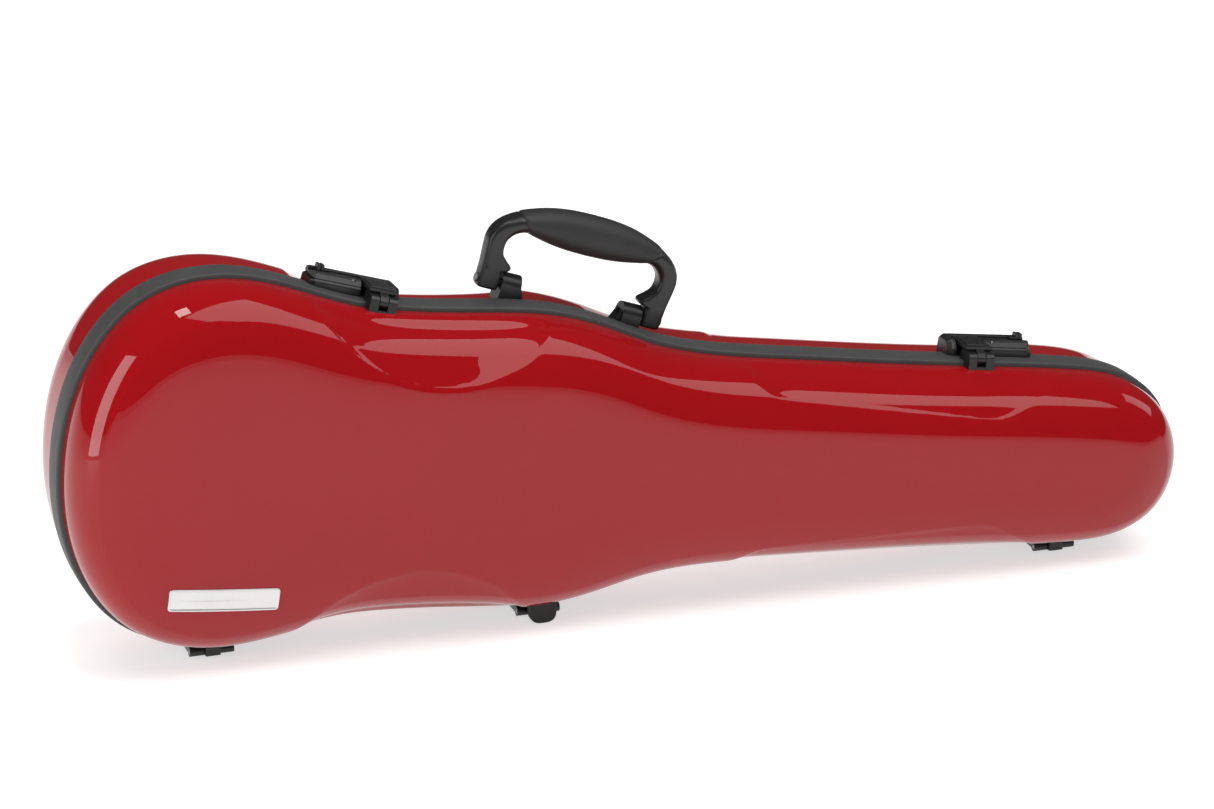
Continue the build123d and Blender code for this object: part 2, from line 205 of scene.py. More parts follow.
def moulded_depth(x, z, reach):
    """How far the flank features sink the surface; reach is 0 at the rim and 1 away from it."""
    depth = sunk(scoop_inside(x, z), SCOOP_DEPTH, SCOOP_FADE)
    depth += sunk(neck_panel_inside(x, z), PANEL_DEPTH, PANEL_FADE)
    return depth * reach


# ---------------------------------------------------------------- shells
ROUNDING_POWER = 2.25                       # superellipse power of the rounding
SPINE_INSET = (124.0, 62.0)                 # the spine's ends from the case's wide and narrow end
CROWN_REACH = 80.0                          # reach at which the front rises by the full crown
RELAX_BEFORE = 18                           # evening starts this many rings before the front's edge
RELAX_ROUNDS = 90
BAND_FADE = 14.0                            # mm over which the flank features come in past the band
VALANCE_SECTION = [                         # distance inward from the outline, Y
    (3.0, -12.2), (0.6, -12.25), (-2.2, -12.2), (-2.9, -11.9), (-3.25, -11.3), (-3.4, -10.0),
    (-3.55, -1.0), (-3.4, 8.2), (-3.2, 9.4), (-2.8, 10.0), (-2.2, 10.2), (0.2, 10.2), (0.2, -1.8),
    (6.6, -1.8), (6.6, -16.8), (6.1, -17.5), (5.1, -17.5), (4.6, -16.8), (4.6, -10.2), (3.0, -10.2),
]


def shell_rings(rim_y, flat_y, front_y, round_width, crown, arcs=44, inner=26):
    """Rings of points from the rim over the rounding to the spine, in the case frame."""
    side = -1 if front_y < rim_y else 1
    depth = abs(front_y - flat_y)
    profile = [(0.0, rim_y), (0.0, rim_y + 0.5 * (flat_y - rim_y)), (0.0, flat_y)]
    power = 2 / ROUNDING_POWER
    for k in range(1, arcs + 1):
        a = 0.5 * math.pi * k / arcs
        d = round_width * (1 - max(math.cos(a), 0.0) ** power)
        profile.append((d, flat_y + side * depth * math.sin(a) ** power))
    rings = []
    for d, y in profile:
        flat = OUTLINE + INWARD * d
        rings.append(np.column_stack([flat[:, 0], np.full(AROUND, y), flat[:, 1]]))
    edge = rings[-1]
    spine_x = np.clip(edge[:, 0], -CASE_LENGTH / 2 + SPINE_INSET[0], CASE_LENGTH / 2 - SPINE_INSET[1])
    reach = np.array([half_width(x) for x in spine_x]) - round_width
    for k in range(1, inner + 1):
        q = k / inner
        x = edge[:, 0] + (spine_x - edge[:, 0]) * q
        z = edge[:, 2] * (1 - q)
        rise = crown * reach / CROWN_REACH * (2 * q - q * q)
        rings.append(np.column_stack([x, np.full(AROUND, front_y) + side * rise, z]))
    return np.array(rings), len(profile)


def relax(rings, first, rounds):
    """Evens the curvature along each profile, from ring number first to the spine."""
    for _ in range(rounds):
        middle = 0.5 * (rings[first - 1:-2] + rings[first + 1:])
        rings[first:-1] += 0.5 * (middle - rings[first:-1])
    return rings


def ring_normals(rings):
    across = np.gradient(rings, axis=0)
    around = np.roll(rings, -1, 1) - np.roll(rings, 1, 1)
    normal = np.cross(across, around)
    size = np.linalg.norm(normal, axis=2, keepdims=True)
    return normal / np.maximum(size, 1e-9)


def outer_surface(rim_y, flat_y, front_y, round_width, crown, band):
    """Rings of the outer skin with the flank features sunk in, and the outward normals."""
    side = -1 if front_y < rim_y else 1
    rings, start = shell_rings(rim_y, flat_y, front_y, round_width, crown)
    rings = relax(rings, start - RELAX_BEFORE, RELAX_ROUNDS)
    normal = ring_normals(rings)
    outward = np.mean(np.einsum("ij,ij->i", normal[start // 2][:, [0, 2]], -INWARD))
    normal *= 1.0 if outward > 0 else -1.0
    normal[start + 2:] = (0, side, 0)
    reach = smoothstep((np.abs(rings[:, :, 1] - rim_y) - band) / BAND_FADE)
    sink = moulded_depth(rings[:, :, 0], rings[:, :, 2], reach)
    return rings - normal * sink[:, :, None], normal


def make_shell(name, node, body, material, rim_y, flat_y, front_y, round_width, crown, band):
    """Outer skin, rim edge and inner skin as one closed shell; also the outer skin's search tree."""
    side = -1 if front_y < rim_y else 1
    outer, normal = outer_surface(rim_y, flat_y, front_y, round_width, crown, band)
    kept = list(range(0, len(outer) - 1, 3)) + [len(outer) - 1]
    inner = outer[kept] - normal[kept] * WALL
    inner[0, :, 1] = rim_y
    rows = np.concatenate([inner[::-1], outer])
    points = to_row(rows).reshape(-1, 3)
    faces = grid_faces(len(rows), AROUND, flip=side > 0)
    piece = new_mesh(name, points, faces, body, material)
    merge_close(piece, 0.02 * MM)
    rim = piece.modifiers.new("rim edge", "EDGE_SPLIT")
    rim.split_angle = math.radians(60)
    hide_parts(node)
    return BVHTree.FromPolygons(to_row(outer).reshape(-1, 3).tolist(), grid_faces(len(outer), AROUND))


def behind_skin(places, skin, inside_point, room):
    """Moves points that are less than room behind the skin, in metres, back to that depth."""
    start = Vector(to_row(inside_point))
    place, normal, _, _ = skin.find_nearest(start)
    outward = -1.0 if (start - place).dot(normal) > 0 else 1.0
    moved = []
    for point in places:
        point = Vector(point)
        place, normal, _, _ = skin.find_nearest(point)
        normal = normal * outward
        if (point - place).dot(normal) > -room:
            point = place - normal * room
        moved.append(point[:])
    return np.array(moved)


def make_valance(material):
    """The black profile round the base's rim, with the lip that enters the lid."""
    rows = []
    for inset, y in VALANCE_SECTION:
        flat = OUTLINE + INWARD * inset
        rows.append(np.column_stack([flat[:, 0], np.full(AROUND, y), flat[:, 1]]))
    points = to_row(np.array(rows)).reshape(-1, 3)
    faces = grid_faces(len(rows), AROUND, closed_rows=True)
    piece = new_mesh("rim_valance_profile", points, faces, "base", material)
    merge_close(piece, 0.001 * MM)
    corners = piece.modifiers.new("corners", "EDGE_SPLIT")
    corners.split_angle = math.radians(40)
    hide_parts("rim_valance")


# ---------------------------------------------------------------- materials
class Nodes:
    """Short way to build a node material."""

    def __init__(self, name):
        self.material = bpy.data.materials.new(name)
        self.material.use_nodes = True
        self.tree = self.material.node_tree
        self.shader = self.tree.nodes["Principled BSDF"]

    def add(self, kind, **values):
        node = self.tree.nodes.new(kind)
        for key, value in values.items():
            if hasattr(node, key):
                setattr(node, key, value)
            else:
                node.inputs[key.replace("_", " ")].default_value = value
        return node

    def link(self, out, target):
        self.tree.links.new(out, target)

    def set(self, **values):
        for key, value in values.items():
            self.shader.inputs[key.replace("_", " ")].default_value = value

    def position(self):
        return self.add("ShaderNodeTexCoord").outputs["Object"]

    def noise(self, scale, detail=3.0, roughness=0.5):
        node = self.add("ShaderNodeTexNoise", Scale=scale, Detail=detail, Roughness=roughness)
        self.link(self.position(), node.inputs["Vector"])
        return node.outputs["Fac"]

    def ramp(self, source, low, high):
        """Colour or grey ramp from low to high."""
        node = self.add("ShaderNodeValToRGB")
        node.color_ramp.elements[0].color = low
        node.color_ramp.elements[1].color = high
        self.link(source, node.inputs["Fac"])
        return node.outputs["Color"]

    def bump(self, source, strength, distance):
        node = self.add("ShaderNodeBump", Strength=strength, Distance=distance)
        self.link(source, node.inputs["Height"])
        self.link(node.outputs["Normal"], self.shader.inputs["Normal"])


def grey(value):
    return (value, value, value, 1.0)


def lacquer_material():
    m = Nodes("red_lacquer")
    m.set(Roughness=0.35, Specular_IOR_Level=0.0, Coat_Weight=1.0, Coat_Roughness=0.01, Coat_IOR=1.41)
    tone = m.ramp(m.noise(9.0, 4.0), (0.262, 0.0035, 0.0055, 1), (0.284, 0.0045, 0.007, 1))
    m.link(tone, m.shader.inputs["Base Color"])
    m.bump(m.noise(160.0, 2.0), 0.012, 0.0004)
    return m.material


def plastic_material(name, low, high, roughness, grain, strength):
    m = Nodes(name)
    m.set(IOR=1.5)
    m.link(m.ramp(m.noise(60.0, 4.0), low, high), m.shader.inputs["Base Color"])
    m.link(m.ramp(m.noise(grain * 0.5, 2.0), grey(roughness - 0.06), grey(roughness + 0.08)),
           m.shader.inputs["Roughness"])
    m.bump(m.noise(grain, 3.0), strength, 0.0002)
    return m.material


def metal_material(name, value, roughness):
    m = Nodes(name)
    m.set(Metallic=1.0)
    m.link(m.ramp(m.noise(90.0, 3.0), grey(value * 0.92), grey(value)), m.shader.inputs["Base Color"])
    m.link(m.ramp(m.noise(700.0, 2.0), grey(roughness - 0.05), grey(roughness + 0.08)),
           m.shader.inputs["Roughness"])
    m.bump(m.noise(900.0, 2.0), 0.05, 0.0001)
    return m.material


def fabric_material(name, low, high, scale):
    m = Nodes(name)
    m.set(Roughness=0.95, Sheen_Weight=0.6, Sheen_Roughness=0.4)
    m.link(m.ramp(m.noise(scale * 0.2, 5.0), low, high), m.shader.inputs["Base Color"])
    m.bump(m.noise(scale, 4.0), 0.5, 0.0006)
    return m.material


LACQUER = lacquer_material()
RIM = plastic_material("rim_profile_plastic", grey(0.036), grey(0.050), 0.55, 1800.0, 0.12)
PLASTIC = plastic_material("hardware_plastic", grey(0.008), grey(0.013), 0.33, 2200.0, 0.10)
GRIP = plastic_material("grip_rubber", grey(0.014), grey(0.020), 0.55, 2600.0, 0.2)
RUBBER = plastic_material("foot_rubber", grey(0.012), grey(0.02), 0.7, 1500.0, 0.2)
SILVER = metal_material("plate_silver", 0.66, 0.34)
STEEL = metal_material("dark_steel", 0.35, 0.35)
PLUSH = fabric_material("lining_plush", (0.030, 0.030, 0.034, 1), (0.055, 0.055, 0.060, 1), 900.0)
STRAP = fabric_material("strap_weave", (0.012, 0.012, 0.012, 1), (0.03, 0.03, 0.03, 1), 1500.0)

SLOT_MATERIALS = {
    "shell_lacquer": LACQUER, "rim_plastic": RIM, "hardware_plastic": PLASTIC, "grip_rubber": GRIP,
    "rubber_pad": RUBBER, "plate_metal": SILVER, "steel_hardware": STEEL, "lining_fabric": PLUSH,
    "strap_fabric": STRAP,
}


def dress_cad_nodes():
    """Every CAD node gets its material, and moulded edges get a small rounding."""
    for part in frame["record"]["subparts"]:
        node = frame["nodes"][part["node"]]
        material = SLOT_MATERIALS[part["material_slot"]]
        node.data.materials.clear()
        node.data.materials.append(material)
        bevel = node.modifiers.new("edge rounding", "BEVEL")
        bevel.width = 0.35 * MM
        bevel.segments = 2
        bevel.limit_method = "ANGLE"
        bevel.angle_limit = math.radians(40)
        bevel.harden_normals = False


# ---------------------------------------------------------------- carrying handle
HANDLE_CENTRE = (-49.0, 18.0, 101.7)        # pivot, case frame
HANDLE_SLOPE = math.radians(13.2)
# stations of one half, from the foot of the arm to the middle: outer X, Z, inner X, Z, half depth
HANDLE_STATIONS = [
    (67.6, -5, 53.2, -5, 6.6), (67.8, 2, 53.2, 2, 7.0), (68.0, 8, 53.2, 8.4, 7.4),
    (68.2, 10.5, 49.2, 9.6, 7.4), (68.4, 12.5, 48.2, 12.4, 7.4), (68.8, 17, 52.5, 16.2, 7.4),
    (69.4, 23, 56.2, 20.0, 7.5), (69.6, 30, 57.2, 25.5, 7.8), (67.4, 37, 56.0, 30.5, 8.4),
    (62.0, 43.5, 51.8, 35.0, 9.4), (53.5, 49, 45.0, 37.4, 10.4), (44, 53, 38, 36.2, 11.4),
    (30, 57, 26, 34.0, 12.0), (15, 59, 14, 32.8, 12.5), (0, 59.5, 0, 32.4, 12.6),
]
PER_SPAN = 8                                # sections between two stations
HANDLE_AROUND = 56                          # points around a section
GRIP_FIRST = 10                             # first station that the padded grip covers


def handle_to_row(points):
    p = np.asarray(points, float)
    x = p[..., 0] * math.cos(HANDLE_SLOPE) + p[..., 2] * math.sin(HANDLE_SLOPE)
    z = -p[..., 0] * math.sin(HANDLE_SLOPE) + p[..., 2] * math.cos(HANDLE_SLOPE)
    return to_row(np.stack([x, p[..., 1], z], -1) + np.array(HANDLE_CENTRE))


def through(stations, per_span):
    """Points on a Catmull-Rom spline through rows of numbers."""
    p = np.asarray(stations, float)
    padded = np.vstack([2 * p[0] - p[1], p, 2 * p[-1] - p[-2]])
    fine = []
    for i in range(len(p) - 1):
        a, b, c, d = padded[i:i + 4]
        for t in np.linspace(0, 1, per_span, endpoint=False):
            fine.append(0.5 * (2 * b + (c - a) * t + (2 * a - 5 * b + 4 * c - d) * t * t
                               + (3 * b - a - 3 * c + d) * t**3))
    return np.array(fine + [p[-1]])


def rounded_power(value, power):
    return np.sign(value) * np.abs(value) ** power


def handle_section(station, grow, squareness, around):
    """Closed section between the outer and inner edge, as a superellipse."""
    outer = np.array([station[0], 0, station[1]])
    inner = np.array([station[2], 0, station[3]])
    half = (outer - inner) / 2
    half *= 1 + grow / np.linalg.norm(half)
    angle = np.linspace(0, 2 * math.pi, around, endpoint=False)
    across = rounded_power(np.cos(angle), 2 / squareness)
    deep = rounded_power(np.sin(angle), 2 / squareness) * (station[4] + grow)
    section = (outer + inner) / 2 + across[:, None] * half
    section[:, 1] += deep
    return section


def handle_sweep(name, stations, grows, squareness, material, node):
    """One piece along the handle, closed at both ends by a ring drawn in to its middle."""
    rings = [handle_section(s, g, q, HANDLE_AROUND) for s, g, q in zip(stations, grows, squareness)]
    first, last = (np.tile(ring.mean(0), (HANDLE_AROUND, 1)) for ring in (rings[0], rings[-1]))
    rings = [first] + rings + [last]
    points = handle_to_row(np.array(rings)).reshape(-1, 3)
    piece = new_mesh(name, points, grid_faces(len(rings), HANDLE_AROUND), "handle", material)
    merge_close(piece, 0.005 * MM)
    corners = piece.modifiers.new("sharp ends", "EDGE_SPLIT")
    corners.split_angle = math.radians(50)
    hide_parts(node)


def other_half(half):
    mirror = half[::-1][1:] * np.array([-1, 1, -1, 1, 1])
    return np.vstack([half, mirror])


def make_handle():
    whole = other_half(through(HANDLE_STATIONS, PER_SPAN))
    first = GRIP_FIRST * PER_SPAN
    last = len(whole) - 1 - first
    place = np.arange(len(whole))
    end = np.minimum(place, len(whole) - 1 - place)
    inside = smoothstep(np.minimum(place - first, last - place) / 5)
    squareness = 5.0 - 2.6 * smoothstep((end - 40) / 40)
    frame_grow = -3.0 * inside - 0.9 * (end == 0)
    handle_sweep("handle_frame_moulding", whole, frame_grow, squareness, PLASTIC,
                 "handle_frame")
    grip = whole[first:last + 1]
    count = np.arange(len(grip))
    edge = np.minimum(count, len(grip) - 1 - count)
    swell = 0.45 - 1.3 * (1 - smoothstep(edge / 2.5))
    handle_sweep("handle_grip_pad", grip, swell, squareness[first:last + 1] - 0.2, GRIP,
                 "handle_grip")


# ---------------------------------------------------------------- moulded hardware
def prism(section, stations, place):
    """Points and faces of a section swept along X. A station is x, scale about the middle."""
    section = np.asarray(section, float)
    middle = (section.min(0) + section.max(0)) / 2
    rings = []
    for x, scale in stations:
        flat = middle + (section - middle) * scale
        rings.append(np.column_stack([np.full(len(flat), x), flat]))
    points = place(np.array(rings)).reshape(-1, 3)
    return points, capped_faces(len(rings), len(section))


def moulding(name, solids, body, material, nodes, bevel=0.5):
    """One piece made of several closed solids, with its edges rounded."""
    points, faces = [], []
    for solid_points, solid_faces in solids:
        start = len(points)
        points.extend(solid_points)
        faces.extend(tuple(start + i for i in face) for face in solid_faces)
    piece = new_mesh(name, points, faces, body, material, smooth=False)
    merge_close(piece, 0.0)
    rounding = piece.modifiers.new("edge rounding", "BEVEL")
    rounding.width = bevel * MM
    rounding.segments = 3
    rounding.limit_method = "ANGLE"
    rounding.angle_limit = math.radians(25)
    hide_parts(*nodes)


def circle_section(radius, y, z, count=28):
    angle = np.linspace(0, 2 * math.pi, count, endpoint=False)
    return np.column_stack([y + radius * np.cos(angle), z + radius * np.sin(angle)])


# ---- latches: X along the case, Y as in the case frame, Z out from the shell ----
LATCHES = {"left": (-207.0, 1), "right": (258.5, -1)}
HASP_FROM, HASP_TO = 6.5, 26.0
HASP_THIRD = (HASP_TO - HASP_FROM) / 3
KNUCKLE_GAP = 0.25
HASP_PIN = (-17.5, 6.5)                     # Y and Z
BAY_FROM, BAY_TO = HASP_FROM - 0.9, 27.2    # the bay that the hasp lies in
LATCH_TOP = 14.0


def latch_place(side):
    """Function that takes points of this latch's frame to the row frame."""
    middle, flip = LATCHES[side]
    slope = -math.atan2(half_width(middle + 4) - half_width(middle - 4), 8)

    def place(points):
        p = np.asarray(points, float)
        x = p[..., 0] * flip
        along = x * math.cos(slope) + p[..., 2] * math.sin(slope)
        up = -x * math.sin(slope) + p[..., 2] * math.cos(slope)
        return to_row(np.stack([along + middle, p[..., 1], up + half_width(middle)], -1))

    return place


def straight(x0, x1, end=0.0):
    """Stations of a straight bar. end is the length of its taper, at x0 if it is negative."""
    if end < 0:
        return [(x0, 0.84), (x0 - end, 1.0), (x1, 1.0)]
    if end > 0:
        return [(x0, 1.0), (x1 - end, 1.0), (x1, 0.84)]
    return [(x0, 1.0), (x1, 1.0)]


def latch_moulding(kind, node, side, solids, body, bevel=0.5):
    """One moulded plastic piece of the latch on this side."""
    moulding(f"latch_{kind}_{side}", solids, body, PLASTIC, [f"latch_{node}_{side}"],
             bevel=bevel)


def make_latch_body(side, place):
    top = LATCH_TOP
    full = [(0.6, -6), (-1, 1.5), (-1, 8.0), (2.4, 12.6), (4.4, top), (18.6, top), (21, 11.6), (21, 1.5),
            (19.6, -6)]
    body = [(0.6, -6), (-1, 1.5), (-1, 8.0), (0.2, 9.6), (20.9, 9.6), (21, 1.5), (19.6, -6)]
    rail = [(13.3, -6), (13.3, top), (18.6, top), (21, 11.6), (21, 1.5), (19.6, -6)]
    floor = [(0.6, -6), (-1, 1.5), (-1, 4.0), (13.4, 4.0), (13.4, -6)]
    solids = [
        prism(body, straight(-30.5, BAY_FROM, -3.5), place),
        prism(rail, straight(BAY_FROM - 0.2, BAY_TO), place),
        prism(floor, straight(BAY_FROM - 0.2, BAY_TO), place),
        prism(full, straight(26.9, 33.0, 3.2), place),
    ]
    latch_moulding("body", "housing", side, solids, "base")


def make_latch_top(side, place):
    top = LATCH_TOP
    cover = [(0.2, 9.7), (2.6, 12.8), (4.4, top), (6.3, top), (6.7, 13.4), (6.8, 12.2), (14.2, 12.2),
             (14.3, 13.4), (14.7, top), (18.6, top), (20.9, 11.8), (20.9, 9.7)]
    ends = [(-29.0, 0.86), (-26.6, 1.0), (BAY_FROM - 0.1, 1.0)]
    latch_moulding("top", "cover", side, [prism(cover, ends, place)], "base", bevel=0.35)


def make_latch_thumb(side, place):
    tray = [(7.0, 12.0), (7.0, 12.9), (14.0, 12.9), (14.0, 12.0)]
    ramp = [(7.1, 12.0), (7.1, 15.6), (13.9, 15.6), (13.9, 12.0)]
    ridge = [(7.1, 12.0), (7.1, 17.4), (7.6, 17.9), (13.4, 17.9), (13.9, 17.4), (13.9, 12.0)]
    solids = [prism(tray, straight(-25.4, -8.6), place), prism(ramp, [(-22.0, 1.0), (-16.2, 0.72)], place)]
    for x in (-24.0, -21.4):
        ends = [(x - 1.1, 0.96), (x - 0.6, 1.0), (x + 0.6, 1.0), (x + 1.1, 0.96)]
        solids.append(prism(ridge, ends, place))
    latch_moulding("thumb", "slider", side, solids, f"slider_{side}", bevel=0.3)


def make_latch_hasp(side, place):
    top = LATCH_TOP
    pin_y, pin_z = HASP_PIN
    arm = [(pin_y + 3.4, 11.4), (12.0, 11.4), (12.2, 12.2), (12.0, top), (pin_y + 4.6, top),
           (pin_y + 2.8, top - 1.2)]
    knuckle_arm = [(pin_y - 2.6, pin_z + 1.8), (pin_y - 1.0, pin_z + 4.2), (pin_y + 2.8, top - 1.3),
                   (pin_y + 5.4, top - 0.6), (pin_y + 5.4, 10.6), (pin_y + 3.2, pin_z)]
    inset = [(pin_y + 8.0, top - 0.1), (pin_y + 8.4, top + 0.45), (10.4, top + 0.45), (10.8, top - 0.1)]
    hook = [(7.5, 6.4), (7.5, 12.0), (10.0, 12.0), (10.0, 6.4)]
    knuckle = straight(HASP_FROM + HASP_THIRD + KNUCKLE_GAP, HASP_TO - HASP_THIRD - KNUCKLE_GAP)
    solids = [
        prism(arm, straight(HASP_FROM, HASP_TO), place),
        prism(inset, straight(HASP_FROM + 2.2, HASP_TO - 2.2), place),
        prism(knuckle_arm, knuckle, place),
        prism(circle_section(3.3, pin_y, pin_z), knuckle, place),
        prism(hook, straight(HASP_FROM + 4, HASP_TO - 4), place),
    ]
    latch_moulding("hasp_plate", "hasp", side, solids, f"hasp_{side}", bevel=0.35)


def make_latch_bracket(side, place):
    pin_y = HASP_PIN[0]
    cheek = [(-12.7, -7), (-12.7, 3.9), (-5.0, 3.9), (-5.0, 9.6), (-7.0, 10.9), (pin_y + 1.5, 10.9),
             (pin_y - 1.6, 10.2), (pin_y - 3.2, 8.2), (-21.6, 0), (-22.4, -7)]
    sill = [(-12.7, -7), (-12.7, 1.6), (-21.4, 1.6), (-22.3, -7)]
    back = [(-12.7, 1.0), (-12.7, 3.9), (-9.0, 3.9), (-9.0, 8.0), (-12.6, 8.0), (-14.0, 1.0)]
    between = straight(HASP_FROM + HASP_THIRD - 0.1, HASP_TO - HASP_THIRD + 0.1)
    solids = [
        prism(cheek, straight(HASP_FROM + 0.2, HASP_FROM + HASP_THIRD), place),
        prism(cheek, straight(HASP_TO - HASP_THIRD, HASP_TO - 0.2), place),
        prism(sill, between, place),
        prism(back, between, place),
    ]
    latch_moulding("bracket_block", "bracket", side, solids, "lid", bevel=0.4)


def make_latch(side):
    place = latch_place(side)
    make_latch_body(side, place)
    make_latch_top(side, place)
    make_latch_thumb(side, place)
    make_latch_hasp(side, place)
    make_latch_bracket(side, place)


# ---- hinge leaves and the middle foot ----
HINGES = {"left": -298.0, "middle": -71.0, "right": 310.0}
HINGE_AXIS = (-12.5, 5.5)                   # Y in the case frame, Z above the floor
LEAF_HALF = 15.0
LEAF_ACROSS = (-20.5, -18.5, -16.0, -14.6, -13.3)
LEAF_EDGE_Y = -20.0                         # the leaf is thinner past this
RIVET_DX, RIVET_Y = 11.0, -17.4


def standing_place(x_middle):
    """Function that takes points about x_middle, with Z above the floor, to the row frame."""
    def place(points):
        p = np.asarray(points, float)
        shift = np.array([x_middle + OUTLINE_MIDDLE[0], OUTLINE_MIDDLE[1], 0.0])
        return (p + shift) * MM

    return place


def skin_height(tree, x, y):
    """Height of the skin's underside above the floor at x, y of the row frame, mm."""
    hit = tree.ray_cast(Vector((x * MM, y * MM, 0.001)), Vector((0, 0, 1)))[0]
    return hit.z / MM


def leaf_slab(tree, middle):
    """Plate that follows the skin above it, as points and faces."""
    low, high = [], []
    for x in np.linspace(-LEAF_HALF, LEAF_HALF, 13):
        for y in LEAF_ACROSS:
            skin = skin_height(tree, x + middle + OUTLINE_MIDDLE[0], y + OUTLINE_MIDDLE[1])
            thick = 2.4 if y > LEAF_EDGE_Y else 1.5
            low.append((x, y, skin - thick))
            high.append((x, y, skin + 1.6))
    count = len(LEAF_ACROSS)
    columns = len(low)
    faces = []
    for i in range(columns // count - 1):
        for j in range(count - 1):
            a = i * count + j
            faces.append((a, a + 1, a + count + 1, a + count))
            faces.append((columns + a, columns + a + count, columns + a + count + 1, columns + a + 1))
    ring = [i * count for i in range(columns // count)]
    ring += [columns - count + j for j in range(1, count)]
    ring += [i * count + count - 1 for i in reversed(range(columns // count - 1))]
    ring += list(reversed(range(1, count - 1)))
    for a, b in zip(ring, ring[1:] + ring[:1]):
        faces.append((a, b, b + columns, a + columns))
    return standing_place(middle)(np.array(low + high)), faces


def make_hinge_leaves(tree):
    axis_y, axis_z = HINGE_AXIS
    strut = [(-18.5, 3.2), (axis_y, 2.4), (axis_y, 8.6), (-13.4, 8.8), (-13.4, 11.5), (-18.5, 11.5)]
    between = straight(-LEAF_HALF / 3, LEAF_HALF / 3)
    for side, middle in HINGES.items():
        place = standing_place(middle)
        knuckle = prism(circle_section(3.2, axis_y, axis_z), between, place)
        solids = [leaf_slab(tree, middle), knuckle, prism(strut, between, place)]
        moulding(f"hinge_leaf_lid_{side}", solids, "lid", PLASTIC,
                 [f"hinge_lid_leaf_{side}"], bevel=0.3)


def rivet_place(x, low):
    """Function that stands a rivet's head, drawn along X, on its place under the leaf."""
    def place(points):
        p = np.asarray(points, float)
        turned = np.stack([p[..., 1], p[..., 2] + RIVET_Y, low - p[..., 0]], -1)
        return standing_place(x)(turned)

    return place


def make_lid_rivets(tree):
    """Low domed heads under the lid's hinge leaves, two to a hinge."""
    dome = [(-1.0, 1.0), (0.0, 1.0), (0.45, 0.86), (0.8, 0.5), (0.92, 0.12)]
    solids = []
    for middle in HINGES.values():
        for x in (middle - RIVET_DX, middle + RIVET_DX):
            low = skin_height(tree, x + OUTLINE_MIDDLE[0], RIVET_Y + OUTLINE_MIDDLE[1]) - 2.5
            solids.append(prism(circle_section(2.4, 0, 0, 24), dome, rivet_place(x, low)))
    moulding("hinge_rivet_heads_lid", solids, "lid", STEEL, ["hinge_rivets_lid"], bevel=0.1)


def make_middle_foot(tree):
    """Block with a round bottom, standing under the middle hinge's leaf on the lid."""
    middle = HINGES["middle"]
    skin = skin_height(tree, middle + OUTLINE_MIDDLE[0], -23.0 + OUTLINE_MIDDLE[1])
    half, corner = 9.4, 8.5
    outline = [(-half - 1.2, skin + 2.5), (-half, corner)]
    for a in np.linspace(math.pi, 2 * math.pi, 21)[1:-1]:
        across = half * rounded_power(math.cos(a), 0.72)
        outline.append((across, corner + corner * rounded_power(math.sin(a), 0.72)))
    outline += [(half, corner), (half + 1.2, skin + 2.5)]

    def place(points):
        swapped = np.asarray(points, float)[..., [1, 0, 2]]
        return standing_place(middle)(swapped)

    ends = [(-26.6, 0.94), (-25.6, 1.0), (-19.4, 1.0), (-18.4, 0.94)]
    moulding("middle_foot_block", [prism(outline, ends, place)], "lid", RUBBER,
             ["foot_middle"], bevel=0.4)


# ---------------------------------------------------------------- name plate
PLATE_X = (-330.0, -256.0)                  # case frame, as the CAD plate
PLATE_Z = (-87.0, -71.4)


def rounded_rectangle(half_x, half_z, radius, corner=8, along=26):
    """Closed loop of points, the same number for every size."""
    points = []
    for sx, sz, start in ((1, 1, 0), (-1, 1, 90), (-1, -1, 180), (1, -1, 270)):
        for k in range(corner + 1):
            a = math.radians(start + 90 * k / corner)
            points.append((sx * (half_x - radius) + radius * math.cos(a),
                           sz * (half_z - radius) + radius * math.sin(a)))
    full = []
    for i, p in enumerate(points):
        full.append(p)
        if i % (corner + 1) == corner:
            q = points[(i + 1) % len(points)]
            full += [(p[0] + (q[0] - p[0]) * t, p[1] + (q[1] - p[1]) * t)
                     for t in np.linspace(0, 1, along, endpoint=False)[1:]]
    return np.array(full)


def make_name_plate(tree):
    """Blank plate with a raised border, laid on the lid's skin."""
    half_x = (PLATE_X[1] - PLATE_X[0]) / 2
    half_z = (PLATE_Z[1] - PLATE_Z[0]) / 2
    middle = (sum(PLATE_X) / 2, sum(PLATE_Z) / 2)
    profile = [(0.0, -0.8), (0.0, 0.45), (0.15, 0.75), (0.45, 0.9), (1.1, 0.9), (1.35, 0.8), (1.5, 0.6),
               (2.5, 0.6), (4.5, 0.62), (6.2, 0.64), (7.5, 0.65)]
    rings = []
    for inset, height in profile:
        loop = rounded_rectangle(half_x - inset, half_z - inset, max(2.2 - inset, 0.12))
        ring = []
        for x, z in loop + np.array(middle):
            start = Vector(to_row((x, -100.0, z)))
            place, normal, _, _ = tree.ray_cast(start, Vector((0, 1, 0)))
            if normal.y > 0:
                normal = -normal
            ring.append(place + normal * height * MM)
        rings.append(ring)
    around = len(rings[0])
    points = [p for ring in rings for p in ring]
    faces = grid_faces(len(rings), around)
    last = (len(rings) - 1) * around
    faces.append(tuple(range(last, last + around)))
    piece = new_mesh("name_plate_blank", points, faces, "lid", SILVER)
    merge_close(piece, 0.01 * MM)
    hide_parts("name_plate")


# ---------------------------------------------------------------- lining and padding
STRAP_X, STRAP_Y = 86.5, 2.2                # middle of the neck strap, case frame
STRAP_HALF = (12.5, 44.0)                   # half width and half length
STRAP_THICK = 1.6
STRAP_CORNER = 6.0
STRAP_BOW = 2.2                             # slack between its two sewn ends
STRAP_AROUND = 112                          # points around a ring
SEAM_INSET, SEAM_WIDTH = 2.4, 0.5           # of the stitched line along each edge
TACKS, TACK_WIDTH = (33.0, 40.5), 0.6       # the seams across each end
STITCH = 2.8


